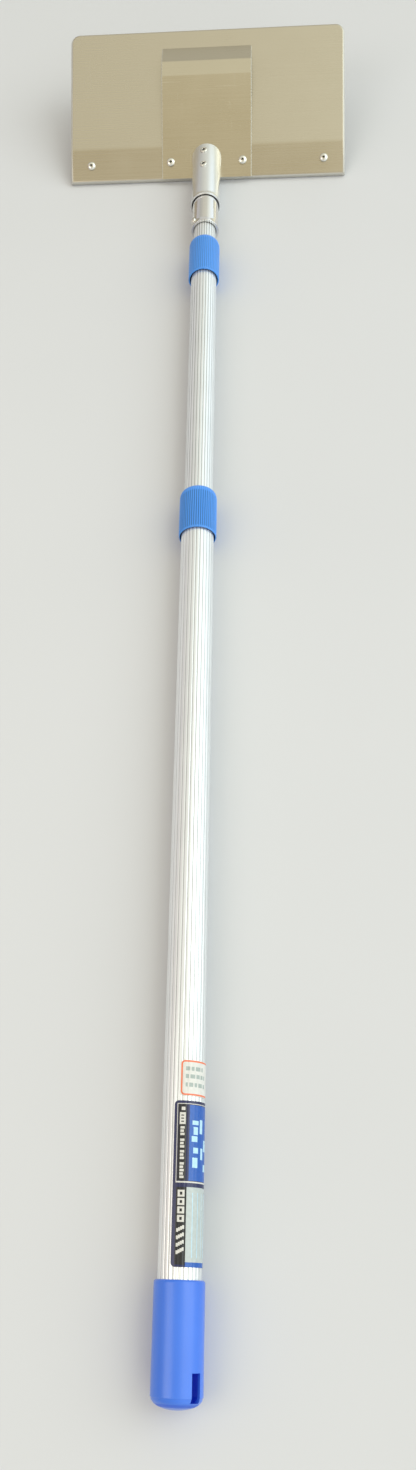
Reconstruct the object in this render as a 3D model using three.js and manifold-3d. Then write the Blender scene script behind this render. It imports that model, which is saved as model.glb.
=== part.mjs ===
// Roof snow rake lying on the ground, its pole along +Y and its blade at the +Y end.
// Three fluted aluminium tubes telescope and are held by two twist locks. The head is a bent
// sheet blade on a bracket with a welded socket, and a snap button holds it on the pole.
// Millimetres, +Z up. Stations are distances along the pole from the end of the grip.
import * as THREE from 'three';
import { mergeVertices } from 'three/addons/utils/BufferGeometryUtils.js';
import Module from 'manifold-3d';

const wasm = await Module();
wasm.setup();

// General
const GAP = 0.3; // clearance between pieces that rest on each other
const ROUND = 40; // segments of a full turn
const COARSE = 24; // segments of a piece that is hidden inside the pole
const FAR = 400; // reach of a cutting block
const QUARTER = Math.PI / 2;
const degrees = THREE.MathUtils.degToRad;

// Pole tubes: outer radius at the flute crests, bore radius, and where each tube starts and ends
const FLUTES = 27;
const FLUTE_DEPTH = 0.3;
const LOWER = { radius: 16, bore: 14.9, start: 27, end: 762 };
const MIDDLE = { radius: 14.25, bore: 13.15, start: 330, end: 1121 };
const UPPER = { radius: 12.5, bore: 11.4, start: 421, end: 1211 };
const BUSH = { flange: 4, length: 22, lip: 2 };

// Grip cap with its hanging slot
const GRIP = { radius: 18.5, bore: 16.3, length: 80, dome: 8, floor: 2.6, edge: 2 };
const BULKHEAD = { start: 23.5, end: 25.5 }; // wall between the slot's hollow and the tube's seat
const SLOT = { width: 8, start: 5, end: 23, angle: degrees(49) };
const AXIS_HEIGHT = GRIP.radius;

// Labels on the lower tube: stations and the arc they cover, from the top towards +X
const LABEL = { start: 88, end: 201, from: degrees(-21), to: degrees(176) };
const STICKER = { start: 204.5, end: 231, from: degrees(-7), to: degrees(100) };
const LABEL_THICKNESS = 0.2;

// Twist locks: nut, threaded ferrule on the outer tube's end, and split collet on the inner tube
const LOCK = { ribDepth: 0.4, chamfer: 0.5, lip: 4, wall: 0.6, throat: 1.2, coneLength: 9 };
const COLLET = { slots: 4, slotWidth: 2, solid: 5, length: 16, fingerTip: 1 };
const THREAD = { ridges: 3, height: 0.25, margin: 3, lead: 2, stop: 2 };
const LOWER_LOCK = { radius: 18.5, start: 734.4, end: 786, shoulder: 6, mouth: 16.2, ribs: 52 };
const UPPER_LOCK = { radius: 17.25, start: 1092, end: 1148, shoulder: 5, mouth: 15.2, ribs: 48 };

// Socket, sleeve and snap button
const SOCKET = { radius: 16.6, bore: 15.5, start: 1215.8, end: 1306, flare: 1.2, flareLength: 6 };
const SLEEVE = { radius: 15.2, bore: 12.8, start: 1172.6, end: 1304, flare: 0.8, flareLength: 6 };
const BUTTON = { station: 1181, angle: degrees(-60), radius: 4, tip: 17.8, dome: 1.6 };
const BUTTON_HOLE = { bottom: 8, top: 24 };
const BUTTON_FOOT = { radius: 5.2, top: 9.8, bottom: 9, stem: 2, stemEnd: 1.2 };
const SPRING = {
  width: 8, thickness: 0.8, near: 2.6, far: 9.5, length: 30, heel: 5, bend: 6, hole: 2.6,
};
const RIVET = {
  stations: [1269, 1294], angle: degrees(-10), stem: 2.4, head: 4.2, brim: 0.3, rise: 1.5,
  tail: 3, tailBottom: 1.2, tailTop: 0.4,
};

// Blade: a lower strip and a main panel meet at a slight bend
const STRIP_ANGLE = degrees(33);
const PANEL_ANGLE = degrees(25.3);
const BLADE = { width: 333, strip: 39, panel: 143.5, sheet: 1.5, rim: 6, edge: 3, corner: 11 };
const BLADE_STATION = 1282.8; // where the strip's lower edge lies along the pole
const CORNER_STEPS = 6;
const MITRE_OVERLAP = 0.02; // lets the strip and the panel fuse at the bend

// Bracket: flat over the strip and on past the bend, then two bends that bring it to the panel
const BRACKET = { width: 108.5, straight: 119, shelf: 18, sheet: 2.2, reach: 60 };
const BRACKET_TILTS = { shelf: degrees(10), ramp: degrees(34.5) };
const WELD = { radius: 1.3, steps: 14, margin: 3 };

// Screws through the strip: across and up positions, and sizes of their hardware
const SCREW = {
  x: [-141, -43.5, 43.5, 141], up: 19.3, shank: 2.5, head: 5, brim: 0.6, rise: 3, recess: 1.6,
};
const RECESS = { width: 1.3, length: 5.6 };
const WASHER = { radius: 5, thickness: 1 };
const NUT = { across: 8, thickness: 4, proud: 1.5 };

const bladeZ = BLADE.rim * Math.cos(STRIP_ANGLE) - AXIS_HEIGHT; // the lower rim meets the ground
const bendY = BLADE_STATION + BLADE.strip * Math.cos(STRIP_ANGLE);
const overallLength =
  bendY + BLADE.panel * Math.cos(PANEL_ANGLE) + BLADE.rim * Math.sin(PANEL_ANGLE);
const bracketFront = GAP + BRACKET.sheet; // height of the bracket's face over the strip's

// Solids ------------------------------------------------------------------------------------

function toSolid(geometry) {
  const plain = geometry.clone();
  plain.deleteAttribute('normal');
  plain.deleteAttribute('uv');
  const welded = mergeVertices(plain, 1e-4);
  const corners = welded.getIndex().array;
  const triangles = [];
  for (let i = 0; i < corners.length; i += 3) {
    const [a, b, c] = corners.slice(i, i + 3);
    if (a !== b && b !== c && c !== a) triangles.push(a, b, c);
  }
  return new wasm.Manifold(new wasm.Mesh({
    numProp: 3,
    vertProperties: new Float32Array(welded.getAttribute('position').array),
    triVerts: new Uint32Array(triangles),
  }));
}

function toGeometry(solid) {
  const { vertProperties, triVerts } = solid.getMesh();
  const geometry = new THREE.BufferGeometry();
  geometry.setAttribute('position', new THREE.BufferAttribute(vertProperties, 3));
  geometry.setIndex(new THREE.BufferAttribute(triVerts, 1));
  geometry.computeVertexNormals();
  return geometry;
}

function cut(geometry, ...tools) {
  return toGeometry(tools.reduce((solid, tool) => solid.subtract(toSolid(tool)), toSolid(geometry)));
}

function common(first, second) {
  return toGeometry(toSolid(first).intersect(toSolid(second)));
}

function join(...pieces) {
  return toGeometry(pieces.map(toSolid).reduce((solid, piece) => solid.add(piece)));
}

// A ring or cap turned about the pole axis from [radius, station] points, anticlockwise.
function turned(profile, segments = ROUND) {
  const points = profile.map(([radius, station]) => new THREE.Vector2(radius, station));
  const [first] = points;
  if (first.x > 0) points.push(first.clone());
  return new THREE.LatheGeometry(points, segments);
}

// Points of a quarter ellipse from [r0, s0] to [r1, s1]; it starts along the pole or across it.
function quarter([r0, s0], [r1, s1], startsAlong, steps = 5) {
  return Array.from({ length: steps + 1 }, (_, i) => {
    const turn = (i / steps) * QUARTER;
    const early = 1 - Math.cos(turn);
    const late = Math.sin(turn);
    const [across, along] = startsAlong ? [early, late] : [late, early];
    return [r0 + (r1 - r0) * across, s0 + (s1 - s0) * along];
  });
}

// A flat outline drawn across the pole and stretched along it.
function alongPole(shape, start, end) {
  const geometry = new THREE.ExtrudeGeometry(shape, { depth: end - start, bevelEnabled: false });
  return geometry.rotateX(-QUARTER).translate(0, start, 0);
}

function circle(radius, segments = ROUND) {
  return Array.from({ length: segments }, (_, i) => {
    const angle = (i / segments) * 2 * Math.PI;
    return new THREE.Vector2(radius * Math.cos(angle), radius * Math.sin(angle));
  });
}

// Round outline with shallow ribs, `radius` at their crests.
function ribbed(radius, ribs, depth, samplesPerRib) {
  const samples = ribs * samplesPerRib;
  return Array.from({ length: samples }, (_, i) => {
    const angle = (i / samples) * 2 * Math.PI;
    const reach = radius - (depth * (1 - Math.cos(ribs * (angle + QUARTER)))) / 2;
    return new THREE.Vector2(reach * Math.cos(angle), reach * Math.sin(angle));
  });
}

// A profile in the plane of up (along the sheet) and out (off its face), stretched across +X.
function acrossBlade(points, width) {
  const shape = new THREE.Shape(points.map(([up, out]) => new THREE.Vector2(up, out)));
  const geometry = new THREE.ExtrudeGeometry(shape, { depth: width, bevelEnabled: false });
  const toBlade = new THREE.Matrix4().makeBasis(
    new THREE.Vector3(0, 1, 0), new THREE.Vector3(0, 0, 1), new THREE.Vector3(1, 0, 0));
  return geometry.translate(0, 0, -width / 2).applyMatrix4(toBlade);
}

// A round bar along local Z, from one height to another.
function bar(radius, bottom, top, segments = 16) {
  return new THREE.CylinderGeometry(radius, radius, top - bottom, segments)
    .rotateX(QUARTER).translate(0, 0, (top + bottom) / 2);
}

function block(size, centre) {
  return new THREE.BoxGeometry(...size).translate(...centre);
}

// Everything beyond a plane across +Y of a frame turned about X, as a large block.
function beyond(angle, y, z) {
  return block([FAR, FAR, FAR], [0, FAR / 2, 0]).rotateX(angle).translate(0, y, z);
}

// Scene graph -------------------------------------------------------------------------------

const ALUMINIUM = { color: 0xd3d6d2, roughness: 0.34, metalness: 1 };
const SATIN_SHEET = { color: 0xc4bda6, roughness: 0.5, metalness: 1 };
const STEEL = { color: 0xc9c8bf, roughness: 0.28, metalness: 1 };
const BLUE = { color: 0x2f62c9, roughness: 0.38, metalness: 0 };
const BLACK = { color: 0x1c1d20, roughness: 0.6, metalness: 0 };
const PAPER = { color: 0x24428c, roughness: 0.45, metalness: 0 };
const WHITE = { color: 0xe9e7e2, roughness: 0.5, metalness: 0 };

const rake = new THREE.Group();
const pole = new THREE.Group(); // stations along Y, axis at z = 0
pole.position.set(0, -overallLength / 2, AXIS_HEIGHT);
const head = new THREE.Group(); // y up the strip, z off its front face
head.position.set(0, BLADE_STATION, bladeZ);
head.rotation.x = STRIP_ANGLE;
const catchGroup = new THREE.Group(); // z out of the pole through the snap button
catchGroup.position.y = BUTTON.station;
catchGroup.rotation.y = BUTTON.angle;
rake.add(pole);
pole.add(head, catchGroup);

function addPart(group, name, geometry, finish) {
  const mesh = new THREE.Mesh(geometry, new THREE.MeshStandardMaterial(finish));
  mesh.name = name;
  group.add(mesh);
  return mesh;
}

// The head's group frame, so that pole pieces can be cut in it and the other way round
pole.updateMatrixWorld(true);
const headInPole = head.matrix.clone();
const catchInPole = catchGroup.matrix.clone();

// Pole tubes --------------------------------------------------------------------------------

function flutedTube({ radius, bore, start, end }) {
  const shape = new THREE.Shape(ribbed(radius, FLUTES, FLUTE_DEPTH, 4));
  shape.holes.push(new THREE.Path(circle(bore)));
  return alongPole(shape, start, end);
}

// Guide bush plugged into the low end of a tube, its flange running in the next tube's bore.
function guideBush(tube, outerTube) {
  const plug = tube.bore - GAP;
  const flange = outerTube.bore - GAP;
  const base = tube.start - GAP - BUSH.flange;
  return turned([
    [plug - BUSH.lip, base], [flange, base], [flange, base + BUSH.flange],
    [plug, base + BUSH.flange], [plug, base + BUSH.length], [plug - BUSH.lip, base + BUSH.length],
  ], COARSE);
}

const buttonHole = bar(BUTTON.radius + GAP, BUTTON_HOLE.bottom, BUTTON_HOLE.top)
  .applyMatrix4(catchInPole);

addPart(pole, 'lower_tube', flutedTube(LOWER), ALUMINIUM);
addPart(pole, 'middle_tube', flutedTube(MIDDLE), ALUMINIUM);
addPart(pole, 'upper_tube', cut(flutedTube(UPPER), buttonHole), ALUMINIUM);
addPart(pole, 'middle_tube_bush', guideBush(MIDDLE, LOWER), BLACK);
addPart(pole, 'upper_tube_bush', guideBush(UPPER, MIDDLE), BLACK);

// Grip cap ----------------------------------------------------------------------------------

function gripCap() {
  const { radius, bore, length, dome, floor, edge } = GRIP;
  const body = turned([
    ...quarter([0, 0], [radius, dome], false),
    ...quarter([radius, length - edge], [radius - edge, length], true, 3),
    [bore, length], [bore, BULKHEAD.end], [0, BULKHEAD.end],
  ]);
  const hollow = turned([
    ...quarter([0, floor], [bore, dome + 1], false), [bore, BULKHEAD.start], [0, BULKHEAD.start],
  ]);
  const slotLength = SLOT.end - SLOT.start;
  const slot = block([SLOT.width, slotLength, FAR], [0, SLOT.start + slotLength / 2, 0]);
  return cut(body, hollow, slot.rotateY(SLOT.angle));
}

addPart(pole, 'grip_cap', gripCap(), BLUE);

// Labels ------------------------------------------------------------------------------------

// Thin film wrapped round the lower tube; angles run from the top towards +X.
function film({ start, end, from, to }) {
  const inner = LOWER.radius + GAP;
  const steps = Math.ceil((to - from) / degrees(8));
  const arc = (radius, first, last) => Array.from({ length: steps + 1 }, (_, i) => {
    const angle = first + ((last - first) * i) / steps;
    return new THREE.Vector2(radius * Math.sin(angle), -radius * Math.cos(angle));
  });
  const outline = [...arc(inner + LABEL_THICKNESS, from, to), ...arc(inner, to, from)];
  return alongPole(new THREE.Shape(outline), start, end);
}

addPart(pole, 'main_label', film(LABEL), PAPER);
addPart(pole, 'price_sticker', film(STICKER), WHITE);

// Twist locks -------------------------------------------------------------------------------

// Ribbed nut, threaded over the ferrule and coned inside where it squeezes the collet.
function lockNut(lock, outerTube, innerTube) {
  const { radius, start, end, shoulder, mouth, ribs } = lock;
  const clear = 2 * GAP;
  const bore = outerTube.radius + LOCK.wall + 2 * GAP + THREAD.height;
  const hole = innerTube.radius + clear;
  const throat = hole + LOCK.throat;
  const coneEnd = end - LOCK.lip;
  const body = turned([
    [bore, start], [radius - LOCK.chamfer, start], [radius + clear, start + LOCK.chamfer + clear],
    [radius + clear, end - shoulder], ...quarter([radius, end - shoulder], [mouth, end], true, 4),
    [hole, end], [hole, coneEnd], [throat, coneEnd], [bore, coneEnd - LOCK.coneLength],
  ]);
  const outline = new THREE.Shape(ribbed(radius, ribs, LOCK.ribDepth, 2));
  return common(body, alongPole(outline, start - clear, end + clear));
}

// Threaded ferrule pressed over the outer tube's end, with an end stop turned inwards.
function lockFerrule(lock, outerTube, innerTube) {
  const inside = outerTube.radius + GAP;
  const root = inside + LOCK.wall;
  const seat = outerTube.end + GAP;
  const base = lock.start + THREAD.margin;
  const pitch = (seat - base - THREAD.margin) / THREAD.ridges;
  const ridges = Array.from({ length: THREAD.ridges }, (_, i) => {
    const foot = base + THREAD.lead + i * pitch;
    return [[root, foot], [root + THREAD.height, foot + pitch / 4], [root, foot + pitch / 2]];
  }).flat();
  return turned([
    [inside, base], [root, base], ...ridges, [root, seat + THREAD.stop],
    [innerTube.radius + 2 * GAP, seat + THREAD.stop], [innerTube.radius + 2 * GAP, seat],
    [inside, seat],
  ], COARSE);
}

// Split collet between the ferrule and the nut's cone; its fingers close on the inner tube.
function lockCollet(lock, outerTube, innerTube) {
  const base = outerTube.end + THREAD.stop + 2 * GAP;
  const inside = innerTube.radius + GAP;
  const outside = outerTube.radius + LOCK.wall;
  const coneStart = lock.end - LOCK.lip - LOCK.coneLength;
  const top = Math.min(base + COLLET.length, lock.end - LOCK.lip - COLLET.fingerTip);
  const ring = turned([
    [inside, base], [outside, base], [outside, coneStart],
    [inside + COLLET.fingerTip, top], [inside, top],
  ], COARSE);
  const slots = Array.from({ length: COLLET.slots / 2 }, (_, i) => {
    const reach = top - base;
    return block([COLLET.slotWidth, reach, FAR], [0, base + COLLET.solid + reach / 2, 0])
      .rotateY((i * 2 * Math.PI) / COLLET.slots);
  });
  return cut(ring, ...slots);
}

for (const [side, lock, outerTube, innerTube] of [
  ['lower', LOWER_LOCK, LOWER, MIDDLE],
  ['upper', UPPER_LOCK, MIDDLE, UPPER],
]) {
  addPart(pole, `${side}_lock_nut`, lockNut(lock, outerTube, innerTube), BLUE);
  addPart(pole, `${side}_lock_ferrule`, lockFerrule(lock, outerTube, innerTube), BLACK);
  addPart(pole, `${side}_lock_collet`, lockCollet(lock, outerTube, innerTube), WHITE);
}

// Socket and sleeve -------------------------------------------------------------------------

// Everything on the far side of a plane parallel to the strip, `out` off its front face.
function behindHead(out) {
  return block([FAR, FAR, FAR], [0, 0, out - FAR / 2]).applyMatrix4(headInPole);
}

// Puts a piece made on the top of the pole at a rivet's place.
function atRivet(geometry, station) {
  return geometry.rotateY(RIVET.angle).translate(0, station, 0);
}

const rivetHoles = RIVET.stations.map((station) => atRivet(
  bar(RIVET.stem + GAP, SLEEVE.bore - 2, SOCKET.radius + 2), station));

// Pipe with a bell mouth, cut square at its far end.
function flaredPipe({ radius, bore, start, end, flare, flareLength }) {
  return turned([
    [bore + flare, start], [radius + flare, start], [radius, start + flareLength],
    [radius, end], [bore, end], [bore, start + flareLength],
  ]);
}

function socketPipe() {
  return cut(flaredPipe(SOCKET), behindHead(bracketFront + GAP), ...rivetHoles);
}

function sleeve() {
  return cut(flaredPipe(SLEEVE), behindHead(bracketFront + 2 * GAP), buttonHole, ...rivetHoles);
}

// Blind rivet: domed head outside, stem through both pipes, upset tail inside.
function rivet() {
  const seat = SOCKET.radius + GAP;
  const bore = SLEEVE.bore - 2 * GAP;
  const bottom = bore - RIVET.tailBottom;
  const top = bore - RIVET.tailTop;
  const profile = [
    [0, bottom], [RIVET.tail, bottom], [RIVET.tail, top], [RIVET.stem, top], [RIVET.stem, seat],
    [RIVET.head, seat],
    ...quarter([RIVET.head, seat + RIVET.brim], [0, seat + RIVET.rise], true, 4),
  ];
  return turned(profile, 20).rotateX(QUARTER);
}

addPart(pole, 'socket_pipe', socketPipe(), ALUMINIUM);
addPart(pole, 'socket_sleeve', sleeve(), STEEL);
for (const [index, station] of RIVET.stations.entries()) {
  addPart(pole, `socket_rivet_${index + 1}`, atRivet(rivet(), station), STEEL);
}

// Snap button and its spring ----------------------------------------------------------------

function snapButton() {
  const { radius, tip, dome } = BUTTON;
  const { radius: foot, top, bottom, stem, stemEnd } = BUTTON_FOOT;
  return turned([
    [0, stemEnd], [stem, stemEnd], [stem, bottom], [foot, bottom], [foot, top],
    [radius, top], ...quarter([radius, tip - dome], [0, tip], true),
  ], 20).rotateX(QUARTER);
}

// Folded strip: one leg under the button with a hole for its stem, the other on the far wall.
function buttonSpring() {
  const { width, thickness, near, far, length, heel, bend, hole } = SPRING;
  const side = (inset) => [
    [-heel, near - inset], [length, near - inset], [length + bend - inset, -(far - near) / 2],
    [length, -far + inset], [-heel, -far + inset],
  ];
  const outline = [...side(0), ...side(thickness).reverse()];
  const strip = acrossBlade(outline, width);
  return cut(strip, bar(hole, 0, near + thickness));
}

addPart(catchGroup, 'release_button', snapButton(), STEEL);
addPart(catchGroup, 'button_spring', buttonSpring(), STEEL);

// Blade -------------------------------------------------------------------------------------

// Rectangle from `bottom` to `top` with its two upper corners rounded to `radius`.
function plateOutline(half, bottom, top, radius) {
  const upperCorner = (side) => {
    if (radius === 0) return [new THREE.Vector2(side * half, top)];
    return Array.from({ length: CORNER_STEPS + 1 }, (_, i) => {
      const angle = (side > 0 ? 0 : QUARTER) + (QUARTER * i) / CORNER_STEPS;
      return new THREE.Vector2(
        side * (half - radius) + radius * Math.cos(angle), top - radius + radius * Math.sin(angle));
    });
  };
  const lower = [new THREE.Vector2(-half, bottom), new THREE.Vector2(half, bottom)];
  return new THREE.Shape([...lower, ...upperCorner(1), ...upperCorner(-1)]);
}

// Shallow tray open at the back: rounded front edges, rims turned back, `depth` deep.
function tray(bottom, top, corner, depth) {
  const stock = 60; // length of each extrusion before the back is cut away
  const pillow = (inset, round) => {
    const outline = plateOutline(
      BLADE.width / 2 - inset, bottom + inset, top - inset, Math.max(corner - inset, 0));
    return new THREE.ExtrudeGeometry(outline, {
      depth: stock, bevelEnabled: true, bevelSize: round, bevelOffset: -round,
      bevelThickness: round, bevelSegments: 3,
    }).translate(0, 0, -stock - round - inset);
  };
  const back = block([FAR, 2 * FAR, FAR], [0, 0, -depth - FAR / 2]);
  return cut(pillow(0, BLADE.edge), pillow(BLADE.sheet, BLADE.edge - BLADE.sheet), back);
}

function blade() {
  const fold = PANEL_ANGLE - STRIP_ANGLE;
  const spare = 60; // each tray runs past the bend before it is mitred
  const strip = cut(
    tray(0, BLADE.strip + spare, 0, BLADE.rim), beyond(fold / 2, BLADE.strip + MITRE_OVERLAP, 0));
  const panel = common(
    tray(-spare, BLADE.panel, BLADE.corner, BLADE.rim).rotateX(fold).translate(0, BLADE.strip, 0),
    beyond(fold / 2, BLADE.strip, 0));
  return cut(join(strip, panel), ...screwHoles(SCREW.x));
}

function screwHoles(positions) {
  const reach = 20;
  return positions.map((x) => bar(SCREW.shank + GAP, -reach, reach).translate(x, SCREW.up, 0));
}

// Everything on or behind the main panel's front face plus the gap, in the head's frame.
function behindPanel() {
  return block([FAR, FAR, FAR], [0, 0, GAP - FAR / 2])
    .rotateX(PANEL_ANGLE - STRIP_ANGLE).translate(0, BLADE.strip, 0);
}

// Bracket plate: one face is a path of three straights, and the other face is mitred off it.
function bracketPlate() {
  const { straight, shelf, sheet, reach, width } = BRACKET;
  const tilts = [0, BRACKET_TILTS.shelf, BRACKET_TILTS.ramp];
  const lengths = [straight, shelf, reach];
  const face = (depth) => {
    const points = [[0, bracketFront - depth]];
    tilts.forEach((tilt, i) => {
      const next = tilts[i + 1] ?? tilt;
      const [up, out] = points[i];
      const mitre = depth * (Math.tan((next - tilt) / 2) + Math.tan((tilt - (tilts[i - 1] ?? tilt)) / 2));
      const length = lengths[i] - mitre;
      points.push([up + length * Math.cos(tilt), out - length * Math.sin(tilt)]);
    });
    return points;
  };
  const plate = acrossBlade([...face(sheet), ...face(0).reverse()], width);
  const upperHalf = block([FAR, FAR, FAR], [0, BLADE.strip + FAR / 2, 0]);
  const below = common(behindPanel(), upperHalf);
  return cut(plate, below, ...screwHoles(SCREW.x.slice(1, 3)));
}

// Weld bead along one side of the socket, from the bracket's lower edge to the pipe's square end.
function weldBead(side) {
  const height = bracketFront + GAP + WELD.radius;
  const reach = SOCKET.radius + GAP + WELD.radius;
  const long = reach / Math.sin(STRIP_ANGLE);
  const ahead = (-bladeZ * Math.cos(STRIP_ANGLE) - height) / Math.sin(STRIP_ANGLE);
  const centreUp = ahead * Math.cos(STRIP_ANGLE) - bladeZ * Math.sin(STRIP_ANGLE);
  const endUp =
    (SOCKET.end - BLADE_STATION + height * Math.sin(STRIP_ANGLE)) / Math.cos(STRIP_ANGLE);
  const first = Math.acos((WELD.margin - centreUp) / long);
  const last = Math.acos((endUp - centreUp) / long);
  const points = Array.from({ length: WELD.steps + 1 }, (_, i) => {
    const turn = first + ((last - first) * i) / WELD.steps;
    return new THREE.Vector3(
      side * reach * Math.sin(turn), centreUp + long * Math.cos(turn), height);
  });
  return new THREE.ExtrudeGeometry(new THREE.Shape(circle(WELD.radius, 8)), {
    extrudePath: new THREE.CatmullRomCurve3(points), steps: WELD.steps, bevelEnabled: false,
  });
}

addPart(head, 'blade', blade(), SATIN_SHEET);
addPart(head, 'bracket_plate', bracketPlate(), SATIN_SHEET);
addPart(head, 'socket_weld_left', weldBead(-1), STEEL);
addPart(head, 'socket_weld_right', weldBead(1), STEEL);

// Screws, washers and nuts ------------------------------------------------------------------

const washerTop = -BLADE.sheet - GAP;
const nutTop = washerTop - WASHER.thickness - GAP;
const screwEnd = nutTop - NUT.thickness - NUT.proud;

function screw(seat) {
  const head = turned([
    [0, screwEnd], [SCREW.shank, screwEnd], [SCREW.shank, seat], [SCREW.head, seat],
    ...quarter([SCREW.head, seat + SCREW.brim], [0, seat + SCREW.rise], true, 3),
  ], 20).rotateX(QUARTER);
  const size = [RECESS.width, RECESS.length, 2 * SCREW.recess];
  const top = [0, 0, seat + SCREW.rise];
  return cut(head, block(size, top), block(size, [0, 0, 0]).rotateZ(QUARTER).translate(...top));
}

function washer() {
  const bottom = washerTop - WASHER.thickness;
  return cut(bar(WASHER.radius, bottom, washerTop), bar(SCREW.shank + GAP, bottom - 1, 0));
}

function nut() {
  const radius = NUT.across / Math.sqrt(3);
  const bottom = nutTop - NUT.thickness;
  return cut(bar(radius, bottom, nutTop, 6), bar(SCREW.shank + GAP, bottom - 1, 0));
}

for (const [index, x] of SCREW.x.entries()) {
  const throughBracket = Math.abs(x) < BRACKET.width / 2;
  const seat = throughBracket ? bracketFront + GAP : GAP;
  const place = new THREE.Group();
  place.position.set(x, SCREW.up, 0);
  head.add(place);
  addPart(place, `screw_${index + 1}`, screw(seat), STEEL);
  addPart(place, `washer_${index + 1}`, washer(), STEEL);
  addPart(place, `nut_${index + 1}`, nut(), STEEL);
}

export default rake;
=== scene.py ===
"""Roof snow rake: fine meshes, materials, floor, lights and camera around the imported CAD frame.

Pieces are modelled in millimetres in the frame of the pole (y is the station along the pole from
the grip's end, z is up from its axis) or of the head, and a matrix brings them to metres."""
from math import acos, atan2, ceil, cos, hypot, pi, radians, sin, tan

import bmesh
import bpy
import numpy as np
from mathutils import Matrix, Vector


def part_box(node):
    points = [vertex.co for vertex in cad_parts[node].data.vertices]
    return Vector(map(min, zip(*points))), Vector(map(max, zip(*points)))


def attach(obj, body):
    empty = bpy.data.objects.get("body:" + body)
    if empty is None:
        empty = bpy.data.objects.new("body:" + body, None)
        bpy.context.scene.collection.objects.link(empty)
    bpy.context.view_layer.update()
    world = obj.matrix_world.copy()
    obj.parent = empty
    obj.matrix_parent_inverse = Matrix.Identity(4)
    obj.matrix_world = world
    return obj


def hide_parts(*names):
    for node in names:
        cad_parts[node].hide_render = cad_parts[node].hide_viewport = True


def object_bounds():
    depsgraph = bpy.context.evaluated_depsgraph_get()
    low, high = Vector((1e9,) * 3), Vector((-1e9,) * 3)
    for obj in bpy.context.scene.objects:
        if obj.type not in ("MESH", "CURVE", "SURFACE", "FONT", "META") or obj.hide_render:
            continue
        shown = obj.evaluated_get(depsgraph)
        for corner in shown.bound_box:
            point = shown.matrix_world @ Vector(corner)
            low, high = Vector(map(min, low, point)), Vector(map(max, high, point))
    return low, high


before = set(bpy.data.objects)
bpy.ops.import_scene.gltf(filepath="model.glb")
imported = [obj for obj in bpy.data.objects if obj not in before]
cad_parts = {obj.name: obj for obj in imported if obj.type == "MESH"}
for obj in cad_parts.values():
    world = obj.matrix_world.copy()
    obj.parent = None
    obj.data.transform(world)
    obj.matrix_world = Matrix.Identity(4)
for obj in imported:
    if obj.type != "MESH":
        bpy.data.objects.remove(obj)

CAD_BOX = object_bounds()
GRIP_LOW, GRIP_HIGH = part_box("grip_cap")
GRIP_END = GRIP_LOW.y
AXIS_Z = (GRIP_LOW.z + GRIP_HIGH.z) / 2
MM = 0.001

# Sizes shared with the CAD part, in millimetres
FLUTES = 27
# The last size of each tube is how far, as a share of a flute, the painted shade runs each side of a
# groove's middle.
LOWER = {"radius": 16, "bore": 14.9, "start": 27, "end": 762, "painted_groove_shade": 0.085}
MIDDLE = {"radius": 14.25, "bore": 13.15, "start": 330, "end": 1121, "painted_groove_shade": 0.12}
UPPER = {"radius": 12.5, "bore": 11.4, "start": 421, "end": 1211, "painted_groove_shade": 0.16}
GRIP = {"radius": 18.5, "bore": 16.3, "length": 80, "dome": 8, "floor": 2.6}
BULKHEAD = (23.5, 25.5)
SLOT = {"width": 8, "start": 5, "end": 23, "angle": radians(49)}
LABEL = {"start": 88, "end": 201, "from": radians(-21), "to": radians(176)}
STICKER = {"start": 204.5, "end": 231, "from": radians(-7), "to": radians(100)}
LOWER_LOCK = {"radius": 18.5, "start": 734.4, "end": 786, "shoulder": 6, "mouth": 16.2,
              "hole": 14.85, "bore": 17.45, "ribs": 52, "depth": 0.62, "valley": 0.33}
UPPER_LOCK = {"radius": 17.25, "start": 1092, "end": 1148, "shoulder": 5, "mouth": 15.2,
              "hole": 13.1, "bore": 15.7, "ribs": 48, "depth": 0.35, "valley": 0.44}
SOCKET = {"radius": 16.6, "bore": 15.5, "start": 1215.8, "end": 1306, "flare": 1.2, "length": 7}
SLEEVE = {"radius": 15.2, "bore": 12.8, "start": 1172.6, "end": 1304, "flare": 0.8, "length": 7}
BUTTON = {"station": 1181, "angle": radians(-60), "radius": 4, "tip": 17.8}
RIVET_STATIONS, RIVET_ANGLE = (1269, 1294), radians(-10)
STRIP_ANGLE, PANEL_ANGLE = radians(33), radians(25.3)
BLADE = {"width": 333, "strip": 39, "panel": 143.5, "sheet": 1.5, "rim": 6, "edge": 3,
         "corner": 11}
BRACKET = {"width": 108.5, "straight": 119, "shelf": 18, "sheet": 2.2, "back": 0.3}
BRACKET_TILTS = (0, radians(10), radians(34.5))
HEAD_STATION = 1282.8
HEAD_DROP = BLADE["rim"] * cos(STRIP_ANGLE) - GRIP["radius"]
SCREW_X, SCREW_UP = (-141, -43.5, 43.5, 141), 19.3

POLE = Matrix.Translation((0, GRIP_END, AXIS_Z)) @ Matrix.Scale(MM, 4)
HEAD = (POLE @ Matrix.Translation((0, HEAD_STATION, HEAD_DROP))
        @ Matrix.Rotation(STRIP_ANGLE, 4, "X"))
CATCH = (POLE @ Matrix.Translation((0, BUTTON["station"], 0))
         @ Matrix.Rotation(BUTTON["angle"], 4, "Y"))


# Camera --------------------------------------------------------------------------------------

# Millimetres for the sensor and lens, metres for the place, degrees for the turn
CAMERA = {"sensor": 36, "lens": 27, "shift": 0.0277, "from_grip_end": (0.0479, 0.0729, 0.8793),
          "turn": (26.86, 3.67, 1.84)}


def make_camera():
    """Above the grip, looking down the pole towards the blade."""
    data = bpy.data.cameras.new("camera")
    data.sensor_width, data.lens, data.shift_x = CAMERA["sensor"], CAMERA["lens"], CAMERA["shift"]
    camera = bpy.data.objects.new("camera", data)
    camera.location = [start + offset for start, offset in
                       zip((0, GRIP_END, AXIS_Z), CAMERA["from_grip_end"])]
    camera.rotation_euler = [radians(angle) for angle in CAMERA["turn"]]
    bpy.context.scene.collection.objects.link(camera)
    bpy.context.scene.camera = camera


make_camera()


# Materials -----------------------------------------------------------------------------------

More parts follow.
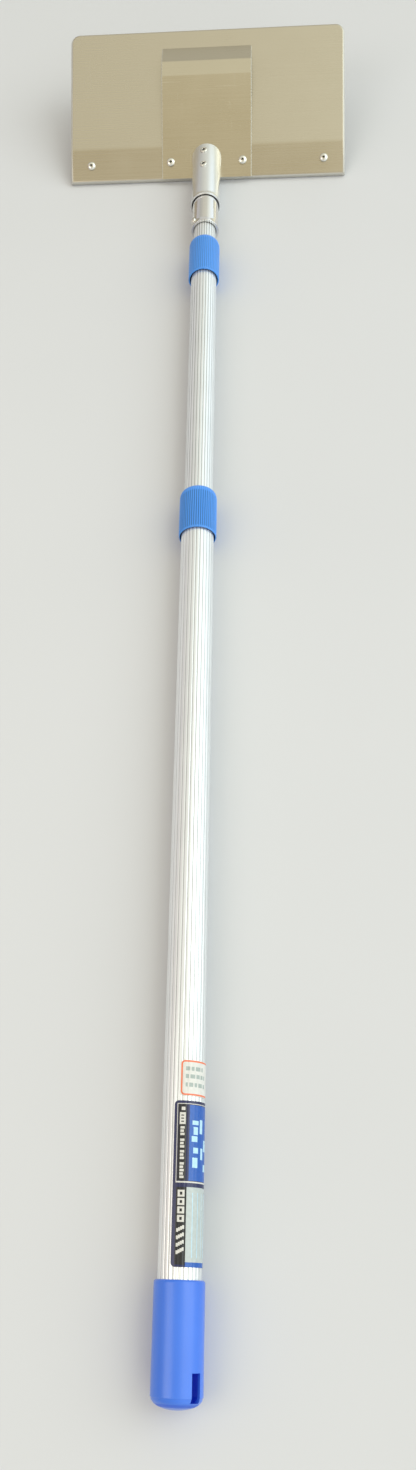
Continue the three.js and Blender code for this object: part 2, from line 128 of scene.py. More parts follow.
def nodes_of(name):
    material = bpy.data.materials.new(name)
    material.use_nodes = True
    tree = material.node_tree
    return material, tree, tree.nodes["Principled BSDF"]


def noise(tree, scale, stretch=(1, 1, 1), detail=4):
    """Noise in the row frame, drawn out along the axes where stretch is small."""
    place = tree.nodes.new("ShaderNodeTexCoord")
    mapping = tree.nodes.new("ShaderNodeMapping")
    mapping.inputs["Scale"].default_value = stretch
    texture = tree.nodes.new("ShaderNodeTexNoise")
    texture.inputs["Scale"].default_value = scale
    texture.inputs["Detail"].default_value = detail
    tree.links.new(place.outputs["Object"], mapping.inputs["Vector"])
    tree.links.new(mapping.outputs["Vector"], texture.inputs["Vector"])
    return texture.outputs["Fac"]


def spread(tree, value, low, high, source=(0.3, 0.7)):
    """The value between source's ends, brought to low..high."""
    node = tree.nodes.new("ShaderNodeMapRange")
    node.inputs["From Min"].default_value, node.inputs["From Max"].default_value = source
    node.inputs["To Min"].default_value, node.inputs["To Max"].default_value = low, high
    tree.links.new(value, node.inputs["Value"])
    return node.outputs["Result"]


def mixed(tree, factor, first, second):
    node = tree.nodes.new("ShaderNodeMix")
    node.data_type = "RGBA"
    node.inputs[6].default_value, node.inputs[7].default_value = (*first, 1), (*second, 1)
    tree.links.new(factor, node.inputs[0])
    return node.outputs[2]


def calc(tree, first, second, operation="ADD"):
    """A Math node over two values, each of them a socket or a number."""
    node = tree.nodes.new("ShaderNodeMath")
    node.operation = operation
    for index, value in enumerate((first, second)):
        if isinstance(value, (int, float)):
            node.inputs[index].default_value = value
        else:
            tree.links.new(value, node.inputs[index])
    return node.outputs[0]


def bump(tree, shader, height):
    """Relief of this height, in metres, on the shader's normal."""
    node = tree.nodes.new("ShaderNodeBump")
    node.inputs["Distance"].default_value = node.inputs["Strength"].default_value = 1.0
    tree.links.new(height, node.inputs["Height"])
    tree.links.new(node.outputs["Normal"], shader.inputs["Normal"])


def metal(name, light, dark, roughness, grain, grain_depth, wave_depth=0.0, scratches=0.0,
          metallic=1.0):
    """Drawn, rolled or plated metal: fine grain along one axis, cloudy gloss, a few scratches.
    The depths of grain, waves and scratches are in metres."""
    material, tree, shader = nodes_of(name)
    shader.inputs["Metallic"].default_value = metallic
    lines = noise(tree, 1.0, grain, 3)
    clouds = noise(tree, 28.0, detail=5)
    smudges = noise(tree, 7.0, detail=3)
    tint = calc(tree, calc(tree, lines, clouds), 0.5, "MULTIPLY")
    tree.links.new(mixed(tree, spread(tree, tint, 0, 1), dark, light),
                   shader.inputs["Base Color"])
    gloss = calc(tree, calc(tree, smudges, lines), 0.5, "MULTIPLY")
    rough = spread(tree, gloss, roughness - 0.06, roughness + 0.08)
    height = calc(tree, lines, grain_depth, "MULTIPLY")
    if wave_depth:
        swell = noise(tree, 9.0, detail=1)
        height = calc(tree, height, calc(tree, swell, wave_depth, "MULTIPLY"))
    if scratches:
        marks = scratch_mask(tree)
        height = calc(tree, height, calc(tree, marks, -scratches, "MULTIPLY"))
        rough = calc(tree, rough, calc(tree, marks, 0.15, "MULTIPLY"))
    tree.links.new(rough, shader.inputs["Roughness"])
    bump(tree, shader, height)
    return material


# Stretch and scale of the noise for the scratches along the pole and across it
SCRATCH_RUNS = (((1, 0.014, 0.05), 900.0), ((0.014, 1, 1), 800.0))


def scratch_mask(tree):
    """Sparse thin scratches in two directions, 1 on a scratch and 0 elsewhere."""
    masks = []
    for stretch, scale in SCRATCH_RUNS:
        line = noise(tree, scale, stretch, 1)
        patch = noise(tree, 11.0, (1, 1.7, 0.6), 2)
        on_line = spread(tree, line, 0, 1, (0.70, 0.73))
        in_patch = spread(tree, patch, 0, 1, (0.52, 0.6))
        masks.append(calc(tree, on_line, in_patch, "MULTIPLY"))
    return calc(tree, *masks, "MAXIMUM")


def plastic(name, color, shade, roughness, coat=0.0):
    """Moulded plastic: faint flow clouds, a fine spark-eroded grain, and rubbed gloss."""
    material, tree, shader = nodes_of(name)
    grain_depth = 6e-6
    clouds = noise(tree, 22.0, detail=3)
    rubbed = noise(tree, 60.0, (1, 0.4, 1), 4)
    tree.links.new(mixed(tree, spread(tree, clouds, 0, 1), shade, color),
                   shader.inputs["Base Color"])
    tree.links.new(spread(tree, rubbed, roughness - 0.05, roughness + 0.07),
                   shader.inputs["Roughness"])
    shader.inputs["Coat Weight"].default_value = coat
    shader.inputs["Coat Roughness"].default_value = 0.25
    grains = noise(tree, 900.0, detail=2)
    bump(tree, shader, calc(tree, grains, grain_depth, "MULTIPLY"))
    return material


def with_painted_glow(material, color, strength):
    """The material with a painted glow, standing in for the light that comes through a thin wall of
    it.
    """
    sockets = material.node_tree.nodes["Principled BSDF"].inputs
    sockets["Emission Color"].default_value = (*color, 1)
    sockets["Emission Strength"].default_value = strength
    return material


def printed(name, color, roughness=0.28):
    """Printed film: slightly uneven ink under a gloss laminate."""
    material, tree, shader = nodes_of(name)
    crease_depth = 6e-5
    ink = noise(tree, 420.0, detail=3)
    paler = tuple(min(1.0, channel * 1.12 + 0.004) for channel in color)
    tree.links.new(mixed(tree, spread(tree, ink, 0, 1), color, paler),
                   shader.inputs["Base Color"])
    creases = noise(tree, 45.0, (1, 0.3, 1), 2)
    tree.links.new(spread(tree, creases, roughness - 0.05, roughness + 0.08),
                   shader.inputs["Roughness"])
    bump(tree, shader, calc(tree, creases, crease_depth, "MULTIPLY"))
    return material


# Stretch of the grain noise: lines along the pole, lines across the blade, or even grain
ALONG_POLE = (1400, 5, 1400)
ACROSS_BLADE = (4, 3200, 3200)
EVEN = (400, 400, 400)
TUBE = metal("tube_aluminium", (0.88, 0.91, 0.93), (0.81, 0.84, 0.86), 0.31, ALONG_POLE,
             5e-6, scratches=6e-6, metallic=0.65)
# Painted shade: a darker metal laid along the middle of each groove of the tubes.
GROOVE_SHADE = metal("tube_groove_painted_shade", (0.54, 0.56, 0.56), (0.42, 0.44, 0.44), 0.50,
                    ALONG_POLE, 8e-6)
SATIN_PIPE = metal("socket_aluminium", (0.90, 0.92, 0.93), (0.83, 0.85, 0.86), 0.31,
                   ALONG_POLE, 3e-6, scratches=5e-6)
POLISHED = metal("sleeve_steel", (0.86, 0.845, 0.82), (0.79, 0.78, 0.755), 0.13, ALONG_POLE,
                 1e-6)
BLADE_SHEET = metal("blade_sheet", (0.54, 0.495, 0.405), (0.525, 0.48, 0.39), 0.28,
                    ACROSS_BLADE, 1.2e-6, wave_depth=1.5e-4, scratches=5e-6)
BRACKET_SHEET = metal("bracket_sheet", (0.56, 0.51, 0.40), (0.54, 0.49, 0.385), 0.28,
                      ACROSS_BLADE, 1.5e-6, wave_depth=4e-5, scratches=4e-6)
# Painted highlight: a brighter, paler metal for the sheets' edges and rims.
EDGE_HIGHLIGHT = metal("sheet_edge_painted_highlight", (0.66, 0.65, 0.60), (0.60, 0.59, 0.55), 0.68,
                  (60, 60, 60), 1e-6)
WELD_METAL = metal("weld_metal", (0.72, 0.69, 0.61), (0.52, 0.49, 0.43), 0.40,
                   (900, 900, 900), 3e-5)
ZINC = metal("zinc_plate", (0.80, 0.785, 0.73), (0.70, 0.685, 0.63), 0.26, (500, 500, 500),
             2e-6)
# Painted shade: near-black metal for the hole in the middle of each rivet.
RIVET_BORE_SHADE = metal("rivet_bore_painted_shade", (0.085, 0.08, 0.075), (0.04, 0.04, 0.04), 0.60, EVEN,
                   4e-6)
# Painted shade: a dark metal for the screws' cross recesses.
RECESS_SHADE = metal("screw_recess_painted_shade", (0.26, 0.25, 0.215), (0.17, 0.16, 0.14), 0.45, EVEN, 4e-6)
SPRING_STEEL = metal("spring_steel", (0.55, 0.55, 0.56), (0.42, 0.42, 0.44), 0.30, EVEN,
                     4e-6)
BLUE = plastic("blue_plastic", (0.038, 0.178, 0.80), (0.034, 0.160, 0.74), 0.34, coat=0.5)
# Painted shade and glow: a darker blue inside the grip's hollow, glowing as painted light for the
# light through its thin wall.
BLUE_INSIDE_SHADE_AND_GLOW = with_painted_glow(
    plastic("blue_plastic_inside_shade_and_glow", (0.030, 0.130, 0.60), (0.026, 0.115, 0.56), 0.5),
    (0.01, 0.05, 1.0), 0.10)
BLUE_NUT = plastic("blue_nut_plastic", (0.060, 0.290, 0.84), (0.053, 0.265, 0.78), 0.36, coat=0.3)
# Painted shade: a darker blue for the valleys between the nuts' ribs.
BLUE_VALLEY_SHADE = plastic("blue_plastic_valley_painted_shade", (0.026, 0.16, 0.46), (0.022, 0.14, 0.42), 0.42)
BLACK = plastic("black_plastic", (0.018, 0.018, 0.020), (0.012, 0.012, 0.014), 0.5)
NYLON = plastic("white_plastic", (0.76, 0.75, 0.70), (0.70, 0.69, 0.64), 0.45)
NAVY_INK = printed("label_navy", (0.012, 0.016, 0.075))
BLACK_INK = printed("label_black", (0.010, 0.010, 0.012))
WHITE_INK = printed("label_white", (0.62, 0.61, 0.58))
BLUE_INK = printed("label_blue", (0.012, 0.095, 0.42))
PALE_INK = printed("label_pale_blue", (0.42, 0.66, 0.82))
SILVER_INK = printed("label_silver", (0.44, 0.49, 0.49))
PAPER = printed("sticker_paper", (0.66, 0.655, 0.63), 0.42)
ORANGE_INK = printed("sticker_orange", (0.74, 0.17, 0.075), 0.42)
GREY_INK = printed("sticker_grey", (0.34, 0.40, 0.38), 0.42)


# Mesh tools ----------------------------------------------------------------------------------

def grid(rings, closed_profile):
    """Quads over rings of points, each ring closed on itself, and the profile too if asked."""
    rings = np.asarray(rings, float)
    count, around = rings.shape[:2]
    faces = []
    for i in range(count if closed_profile else count - 1):
        below, above = i * around, ((i + 1) % count) * around
        for j in range(around):
            k = (j + 1) % around
            faces.append((below + j, below + k, above + k, above + j))
    return rings.reshape(-1, 3), faces


def soft(profile, radius, steps=3):
    """A closed profile with its sharp corners rounded."""
    nearly_straight, longest_reach = -0.93, 0.45
    result = []
    for index, corner in enumerate(profile):
        corner = np.array(corner, float)
        before = np.array(profile[index - 1], float) - corner
        after = np.array(profile[(index + 1) % len(profile)], float) - corner
        sizes = [np.linalg.norm(side[:2]) for side in (before, after)]
        straight = np.dot(before[:2], after[:2]) / (sizes[0] * sizes[1] + 1e-12)
        if corner[0] == 0 or straight < nearly_straight:
            result.append(corner)
            continue
        reach = min(radius, longest_reach * sizes[0], longest_reach * sizes[1])
        first, last = corner + before / sizes[0] * reach, corner + after / sizes[1] * reach
        for step in range(steps + 1):
            t = step / steps
            result.append((1 - t) ** 2 * first + 2 * t * (1 - t) * corner + t * t * last)
    return result


def quarter(start, end, starts_along, steps=8):
    """Points of a quarter ellipse that leaves start along the pole or across it."""
    points = []
    for step in range(steps + 1):
        turn = step / steps * pi / 2
        early, late = 1 - cos(turn), sin(turn)
        across, along = (early, late) if starts_along else (late, early)
        points.append((start[0] + (end[0] - start[0]) * across,
                       start[1] + (end[1] - start[1]) * along))
    return points


def turned(profile, around, wave=None):
    """Turns a closed (radius, station) profile about the pole. A third value in a point is the
    share of wave(angle) that is added to its radius."""
    angles = np.arange(around) * 2 * pi / around
    ripple = np.array([wave(angle) for angle in angles]) if wave else np.zeros(around)
    rings = []
    for point in profile:
        share = point[2] if len(point) > 2 else 0.0
        radius = point[0] + share * ripple
        rings.append(np.stack([radius * np.sin(angles), np.full(around, point[1]),
                               radius * np.cos(angles)], -1))
    closed = profile[0][0] > 0
    return grid(rings, closed)


SHARP = 35  # degrees between faces from which an edge is shaded sharp
RIBBED_SHARP = 60


def new_object(name, solid, place, material, sharp=SHARP):
    """A smooth-shaded object from (points, faces) in the frame of place. Its faces take the
    first material, where there is a list."""
    points, faces = solid
    mesh = bpy.data.meshes.new(name)
    mesh.from_pydata([tuple(place @ Vector(p)) for p in points], [], faces)
    for layer in material if isinstance(material, list) else [material]:
        mesh.materials.append(layer)
    obj = bpy.data.objects.new(name, mesh)
    bpy.context.scene.collection.objects.link(obj)
    clean(obj, sharp)
    return obj


def clean(obj, sharp=SHARP):
    """Merges doubled points, turns the faces outwards and sets the shading."""
    bm = bmesh.new()
    bm.from_mesh(obj.data)
    bmesh.ops.remove_doubles(bm, verts=bm.verts, dist=1e-7)
    bmesh.ops.dissolve_degenerate(bm, edges=bm.edges, dist=1e-7)
    bmesh.ops.recalc_face_normals(bm, faces=bm.faces)
    bm.to_mesh(obj.data)
    bm.free()
    obj.data.shade_smooth()
    obj.data.set_sharp_from_angle(angle=radians(sharp))


def settle(obj):
    """Applies the object's modifiers to its mesh."""
    bpy.context.view_layer.update()
    shaped = bpy.data.meshes.new_from_object(
        obj.evaluated_get(bpy.context.evaluated_depsgraph_get()))
    obj.modifiers.clear()
    obj.data = shaped


def carve(obj, *cutters):
    """Cuts the cutters out of the object and removes them."""
    for cutter in cutters:
        step = obj.modifiers.new("cut", "BOOLEAN")
        step.operation, step.solver, step.object = "DIFFERENCE", "EXACT", cutter
    settle(obj)
    for cutter in cutters:
        bpy.data.objects.remove(cutter)
    clean(obj)


def ease(obj, width, angle=40):
    """Small bevels on the sharp edges."""
    step = obj.modifiers.new("ease", "BEVEL")
    step.width, step.segments = width * MM, 2
    step.limit_method, step.angle_limit = "ANGLE", radians(angle)
    step.harden_normals = False
    settle(obj)
    clean(obj)


def repaint(obj, place, chosen):
    """Gives the second material to each face whose middle, in the frame of place, is chosen."""
    to_place = place.inverted()
    for part in obj.data.polygons:
        part.material_index = int(chosen(to_place @ part.center))


def off_axis(spot):
    """Distance from the pole's axis."""
    return hypot(spot.x, spot.z)


def place_piece(obj, body, slot, *nodes):
    """Hangs a finished piece on its body in place of CAD nodes, with even normals."""
    even = obj.modifiers.new("normals", "WEIGHTED_NORMAL")
    even.keep_sharp = True
    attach(obj, body)
    if nodes:
        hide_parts(*nodes)
    return obj


def box_solid(size, centre):
    half = [value / 2 for value in size]
    points = [tuple(c + s * h for c, s, h in zip(centre, signs, half))
              for signs in ((x, y, z) for x in (-1, 1) for y in (-1, 1) for z in (-1, 1))]
    faces = [(0, 1, 3, 2), (4, 6, 7, 5), (0, 4, 5, 1), (2, 3, 7, 6), (0, 2, 6, 4), (1, 5, 7, 3)]
    return points, faces


def standing(solid):
    """Turns a solid made about Y so that it stands about Z."""
    points, faces = solid
    return [(x, -z, y) for x, y, z in points], faces


# Pole tubes ----------------------------------------------------------------------------------

GROOVE = {"depth": 0.28, "share": 0.42, "turn": radians(-1.4), "crown": 0.06}
FACETS_PER_FLUTE = 12


def flute_phase(angle):
    """Share of a flute between the angle and the nearest groove's middle."""
    return ((angle - GROOVE["turn"]) * FLUTES / (2 * pi) + 0.5) % 1 - 0.5


def flute(angle):
    """Depth of the narrow grooves drawn along a tube, with a low crown between them."""
    phase = flute_phase(angle)
    inside = abs(phase) < GROOVE["share"] / 2
    groove = 0.5 + 0.5 * cos(2 * pi * phase / GROOVE["share"]) if inside else 0.0
    crown = GROOVE["crown"] * (1 - cos(2 * pi * phase)) / 2
    return -GROOVE["depth"] * groove - GROOVE["crown"] + crown


def tube(name, size):
    """Fluted tube with a line of painted shade in each groove."""
    profile = soft([(size["bore"], size["start"], 0), (size["radius"], size["start"], 1),
                    (size["radius"], size["end"], 1), (size["bore"], size["end"], 0)], 0.3)
    pipe = new_object(name, turned(profile, FLUTES * FACETS_PER_FLUTE, flute), POLE,
                      [TUBE, GROOVE_SHADE], RIBBED_SHARP)
    inside_wall = size["bore"] + 0.4

    # Faces along the middle of each groove, on the outside, take the painted shade.
    def painted_groove_shade(spot):
        in_groove = abs(flute_phase(atan2(spot.x, spot.z))) < size["painted_groove_shade"]
        return off_axis(spot) > inside_wall and in_groove

    repaint(pipe, POLE, painted_groove_shade)
    return pipe


def make_tubes():
    place_piece(tube("fluted_lower_tube", LOWER), "lower_pole", "tube_aluminium", "lower_tube")
    place_piece(tube("fluted_middle_tube", MIDDLE), "middle_pole", "tube_aluminium",
                "middle_tube")
    upper = tube("fluted_upper_tube", UPPER)
    carve(upper, button_hole())
    place_piece(upper, "upper_pole", "tube_aluminium", "upper_tube")


def button_hole():
    """Cutter for the snap button's hole through a tube's wall."""
    radius, inner, outer = BUTTON["radius"] + 0.3, 8, 24
    solid = standing(turned([(0, inner), (radius, inner), (radius, outer), (0, outer)], 48))
    return new_object("button_hole", solid, CATCH, ZINC)


# Grip cap ------------------------------------------------------------------------------------

def make_grip():
    """Cap with a domed end, hollow behind its hanging slot and open towards the tube."""
    radius, bore, length = GRIP["radius"], GRIP["bore"], GRIP["length"]
    dome, floor = GRIP["dome"], GRIP["floor"]
    seam = 0.45  # where the dome meets the wall
    rim, rim_drop, lead, lead_depth = 2, 1.8, 0.3, 0.5  # the rounded open end
    outside = [*quarter((0, 0), (radius - seam, dome - seam), False, 14), (radius, dome + 0.1),
               *quarter((radius, length - rim), (radius - rim_drop, length), True),
               (bore + lead, length), (bore, length - lead_depth), (bore, BULKHEAD[1]),
               (0, BULKHEAD[1])]
    grip = new_object("blue_grip_cap", turned(outside, 128), POLE, [BLUE, BLUE_INSIDE_SHADE_AND_GLOW])
    hollow = new_object("hollow", turned(
        [*quarter((0, floor), (bore, dome + 1), False, 10), (bore, BULKHEAD[0]),
         (0, BULKHEAD[0])], 128), POLE, BLUE)
    reach, through = SLOT["end"] - SLOT["start"], 60
    centre = (0, SLOT["start"] + reach / 2, 0)
    slot = new_object("slot", box_solid((SLOT["width"], reach, through), centre),
                      POLE @ Matrix.Rotation(SLOT["angle"], 4, "Y"), BLUE)
    carve(grip, hollow, slot)
    ease(grip, 0.35)
    # Faces inside the hollow take the darker, glowing blue of painted shade and light.
    repaint(grip, POLE, lambda spot: floor - 0.2 < spot.y < BULKHEAD[0] + 0.2
            and off_axis(spot) < bore + 0.1)
    place_piece(grip, "lower_pole", "blue_plastic", "grip_cap")


# Labels --------------------------------------------------------------------------------------

def rounded(width, length, corner, inset):
    """Outline of a rectangle with round corners, drawn in by inset."""
    radius = max(corner - inset, 0.2)
    points = []
    for x, y, start in ((corner, corner, pi), (width - corner, corner, 1.5 * pi),
                        (width - corner, length - corner, 0), (corner, length - corner, pi / 2)):
        for step in range(9):
            angle = start + step * pi / 16
            points.append((x + radius * cos(angle), y + radius * sin(angle), 0))
    return points


FILM = {"standoff": 0.32, "thickness": 0.12, "slice": 0.75, "sag": 0.5}


def film(name, size, corner, frames, prints, materials):
    """Label wrapped round the lower tube, sagging a little into the flutes. Frames are (inset of
    the inner edge, material) from the rim inwards. Prints are (across, along, width, length,
    material) in millimetres, and a later one covers an earlier one."""
    radius = LOWER["radius"] + FILM["standoff"]
    width, length = radius * (size["to"] - size["from"]), size["end"] - size["start"]
    bm = bmesh.new()
    ring = [bm.verts.new(p) for p in rounded(width, length, corner, 0)]
    for inset, index in frames:
        inner = [bm.verts.new(p) for p in rounded(width, length, corner, inset)]
        for k in range(len(ring)):
            after = (k + 1) % len(ring)
            bm.faces.new((ring[k], ring[after], inner[after], inner[k])).material_index = index
        ring = inner
    bm.faces.new(ring)
    slices = range(1, ceil(width / FILM["slice"]))
    lines = [(Vector((1, 0, 0)), step * FILM["slice"]) for step in slices]
    for across, along, wide, long, _ in prints:
        lines += [(Vector((1, 0, 0)), across), (Vector((1, 0, 0)), across + wide),
                  (Vector((0, 1, 0)), along), (Vector((0, 1, 0)), along + long)]
    for normal, offset in lines:
        bmesh.ops.bisect_plane(bm, geom=bm.verts[:] + bm.edges[:] + bm.faces[:], dist=1e-4,
                               plane_co=normal * offset, plane_no=normal)
    for part in bm.faces:
        middle = part.calc_center_median()
        for across, along, wide, long, index in prints:
            if across < middle.x < across + wide and along < middle.y < along + long:
                part.material_index = index
    for vert in bm.verts:
        angle = size["from"] + vert.co.x / radius
        reach = radius + FILM["sag"] * flute(angle)
        vert.co = POLE @ Vector((reach * sin(angle), size["start"] + vert.co.y,
                                 reach * cos(angle)))
    bmesh.ops.recalc_face_normals(bm, faces=bm.faces)
    mesh = bpy.data.meshes.new(name)
    bm.to_mesh(mesh)
    bm.free()
    for material in materials:
        mesh.materials.append(material)
    obj = bpy.data.objects.new(name, mesh)
    bpy.context.scene.collection.objects.link(obj)
    skin = obj.modifiers.new("skin", "SOLIDIFY")
    skin.thickness, skin.offset = FILM["thickness"] * MM, 1
    settle(obj)
    clean(obj, RIBBED_SHARP)
    return obj


def main_label_prints():
    """Abstract blocks: a navy ground, a black column of white blocks, blue and silver panels."""
    navy, black, white, blue, pale, silver = range(6)
    prints = [
        (2.2, 55.5, 60, 55.5, white), (2.7, 56.5, 60, 54, navy),  # frame line of the far panel
        (3.2, 57, 6.3, 53.5, black), (9.5, 57, 60, 53, blue), (9.5, 57, 2.2, 53, navy),
        (4.2, 96, 4.4, 8.5, white), (5.4, 106, 2.8, 2.4, white),
    ]
    for along, marks in ((58.5, 5), (71.5, 3), (79.5, 3), (88.2, 3)):
        for mark in range(marks):
            prints.append((4.9, along + 2.3 * mark, 3.1 - 0.5 * (mark % 2), 1.7, white))
    for along in (97.6, 99.8, 102):
        prints.append((5.2, along, 2.2, 0.8, black))
    for across, along, wide, long in ((14, 96, 5.5, 3), (15, 89, 4, 5.5), (13.6, 84, 5, 4),
                                      (15, 76, 4.4, 4), (14.4, 66, 4.6, 7), (21, 90, 3.4, 10),
                                      (22, 72, 3, 8), (26, 64, 12, 5), (26, 78, 12, 8)):
        prints.append((across, along, wide, long, pale))
    prints += [(2.8, 1.5, 7.8, 51, black), (10.4, 3.2, 42, 49.4, silver),
               (10.4, 0, 46, 3.2, blue)]
    for along in (46, 40.4, 34.8, 29.2):  # four plain frames, then four slanting bars
        prints += [(4, along, 5, 4.6, white), (5.6, along + 1.3, 1.8, 2, black)]
    for along in (22.6, 17.8, 13, 8.2):
        for step in range(4):
            prints.append((3.6 + 1.4 * step, along + 0.7 * step, 1.4, 2.4, white))
    for line in range(7):
        prints.append((15 + 4.6 * line, 6, 0.5, 43, pale))
    return prints


def sticker_prints():
    """Three rows of small grey blocks."""
    grey = 2  # the sticker's materials are paper, orange and grey
    prints = []
    for along, blocks in ((18.5, (4, 3, 6, 2)), (12.8, (3, 5, 4, 3, 2)), (6.6, (2, 4, 3, 5, 3))):
        across = 4.0
        for wide in blocks:
            prints.append((across, along, wide * 0.8, 3.0, grey))
            across += wide * 0.8 + 1.1
    return prints


def make_labels():
    label = film("printed_label", LABEL, 3, [], main_label_prints(),
                 [NAVY_INK, BLACK_INK, WHITE_INK, BLUE_INK, PALE_INK, SILVER_INK])
    place_piece(label, "lower_pole", "label_film", "main_label")
    sticker = film("rounded_sticker", STICKER, 3.4, [(0.4, 0), (1.6, 1)], sticker_prints(),
                   [PAPER, ORANGE_INK, GREY_INK])
    place_piece(sticker, "lower_pole", "sticker_paper", "price_sticker")


# Twist locks ---------------------------------------------------------------------------------

FACETS_PER_RIB = 10


def lock_nut(name, lock):
    """Ribbed nut, its ribs running out on the rounded shoulder, with a line of painted shade in each
    valley."""
    ribs, radius = lock["ribs"], lock["radius"]
    start, end = lock["start"], lock["end"]
    ribs_from, hole_depth, cone_depth = 2.4, 4, 13

    def rib_phase(angle):
        """Share of a rib between the angle and the nearest rib's middle."""
        return (angle * ribs / (2 * pi) + 0.5) % 1 - 0.5

    def rib(angle):
        return -lock["depth"] * (0.5 - 0.5 * cos(2 * pi * rib_phase(angle))) ** 1.5

    shoulder = [(r, s, 1 - i / 8) for i, (r, s) in
                enumerate(quarter((radius, end - lock["shoulder"]), (lock["mouth"], end), True))]
    profile = [(lock["bore"], start, 0), (radius - 0.5, start, 0), (radius, start + 0.8, 0.4),
               (radius, start + ribs_from, 1), *shoulder, (lock["hole"], end, 0),
               (lock["hole"], end - hole_depth, 0), (lock["hole"] + 1.2, end - hole_depth, 0),
               (lock["bore"], end - cone_depth, 0)]
    nut = new_object(name, turned(soft(profile, 0.3), ribs * FACETS_PER_RIB, rib), POLE,
                     [BLUE_NUT, BLUE_VALLEY_SHADE], RIBBED_SHARP)

    # Faces deep between the ribs take the painted shade.
    def in_valley(spot):
        on_wall = start + ribs_from < spot.y < end - lock["shoulder"]
        outside = off_axis(spot) > radius - 1
        return on_wall and outside and abs(rib_phase(atan2(spot.x, spot.z))) > lock["valley"]

    repaint(nut, POLE, in_valley)
    return nut


def make_locks():
    for side, lock, body in (("lower", LOWER_LOCK, "lower_lock"),
                             ("upper", UPPER_LOCK, "upper_lock")):
        nut = lock_nut(f"ribbed_{side}_nut", lock)
        place_piece(nut, body, "blue_plastic", f"{side}_lock_nut")
        for part, material in (("ferrule", BLACK), ("collet", NYLON)):
            give(f"{side}_lock_{part}", material)


def give(node, material):
    """A CAD node that stays shown gets its finished material."""
    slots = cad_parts[node].data.materials
    slots.clear()
    slots.append(material)


# Socket, sleeve, rivets and button -----------------------------------------------------------

def trim(obj, out):
    """Cuts the pipe off along a plane parallel to the strip and closes its wall."""
    bm = bmesh.new()
    bm.from_mesh(obj.data)
    normal = HEAD.to_3x3() @ Vector((0, 0, 1))
    cut = bmesh.ops.bisect_plane(bm, geom=bm.verts[:] + bm.edges[:] + bm.faces[:],
                                 plane_co=HEAD @ Vector((0, 0, out)), plane_no=normal,
                                 clear_inner=True)["geom_cut"]
    rim = [item for item in cut if isinstance(item, bmesh.types.BMEdge)]
    bmesh.ops.bridge_loops(bm, edges=rim)
    bm.to_mesh(obj.data)
    bm.free()
    clean(obj)


LIP_SHARE = 0.5  # how far the inside of a bell mouth opens, against its outside
BELL_STEPS = 8


def flared_pipe(name, size, out, material):
    """Pipe with a bell mouth and a square far end, cut away where it would pass the plane."""
    bell = [(1 - t * t * (3 - 2 * t), t) for t in (i / BELL_STEPS for i in range(BELL_STEPS + 1))]
    outer = [(size["radius"] + size["flare"] * w, size["start"] + size["length"] * t)
             for w, t in bell]
    inner = [(size["bore"] + LIP_SHARE * size["flare"] * w, size["start"] + size["length"] * t)
             for w, t in bell[::-1]]
    outline = soft([*outer, (size["radius"], size["end"]), (size["bore"], size["end"]), *inner],
                   0.35)
    pipe = new_object(name, turned(outline, 128), POLE, material)
    trim(pipe, out)
    return pipe


def make_socket():
    """Socket pipe and the sleeve inside it, both trimmed just clear of the bracket's face."""
    front = BRACKET["back"] + BRACKET["sheet"]
    pipe_gap, sleeve_gap, lip_bevel, lip_angle = 0.05, 0.6, 0.2, 50
    pipe = flared_pipe("satin_socket_pipe", SOCKET, front + pipe_gap, SATIN_PIPE)
    ease(pipe, lip_bevel, lip_angle)
    place_piece(pipe, "upper_pole", "socket_aluminium", "socket_pipe")
    sleeve = flared_pipe("polished_sleeve", SLEEVE, front + sleeve_gap, POLISHED)
    carve(sleeve, button_hole())
    ease(sleeve, lip_bevel, lip_angle)
    place_piece(sleeve, "upper_pole", "sleeve_steel", "socket_sleeve")


def make_rivets():
    """Blind rivets: a domed flange with the broken stem deep in its middle, and a bulged tail."""
    seat, tail = SOCKET["radius"] + 0.05, SLEEVE["bore"] - 0.6
    stem, bulge, head, crown, hole, hole_depth = 2.4, 3, 4.2, 1.45, 1.75, 1.0
    profile = [(0, tail - 1.2), (1.8, tail - 1.2),
               *quarter((1.8, tail - 1.2), (bulge, tail - 0.5), False, 3), (stem, tail - 0.3),
               (stem, seat), (head, seat), (head + 0.05, seat + 0.35),
               *quarter((head, seat + 0.5), (2.1, seat + crown), True, 6),
               (hole + 0.1, seat + 1.2), (hole, seat - hole_depth), (0, seat - hole_depth)]
    for index, station in enumerate(RIVET_STATIONS, 1):
        place = (POLE @ Matrix.Translation((0, station, 0))
                 @ Matrix.Rotation(RIVET_ANGLE, 4, "Y"))
        rivet = new_object(f"blind_rivet_{index}", standing(turned(profile, 56)), place,
                           [ZINC, RIVET_BORE_SHADE])
        # The hole's faces take the painted shade.
        repaint(rivet, place, lambda spot: hypot(spot.x, spot.y) < hole + 0.11
                and spot.z > seat - hole_depth - 0.1)
        place_piece(rivet, "upper_pole", "rivet_steel", f"socket_rivet_{index}")


def make_button():
    """Snap button with its stem and shoulder, and finishes for the parts hidden in the pole."""
    tip, radius, stem, shoulder = BUTTON["tip"], BUTTON["radius"], 2, 5.2
    profile = [(0, 1.2), (stem, 1.2), (stem, 9), (shoulder, 9), (shoulder, 9.8), (radius, 9.8),
               *quarter((radius, tip - 2.2), (0, tip), True, 10)]
    button = new_object("domed_snap_button", standing(turned(soft(profile, 0.2), 64)), CATCH,
                        ZINC)
    place_piece(button, "release_button", "button_steel", "release_button")
    give("button_spring", SPRING_STEEL)
    for node in ("middle_tube_bush", "upper_tube_bush"):
        give(node, BLACK)


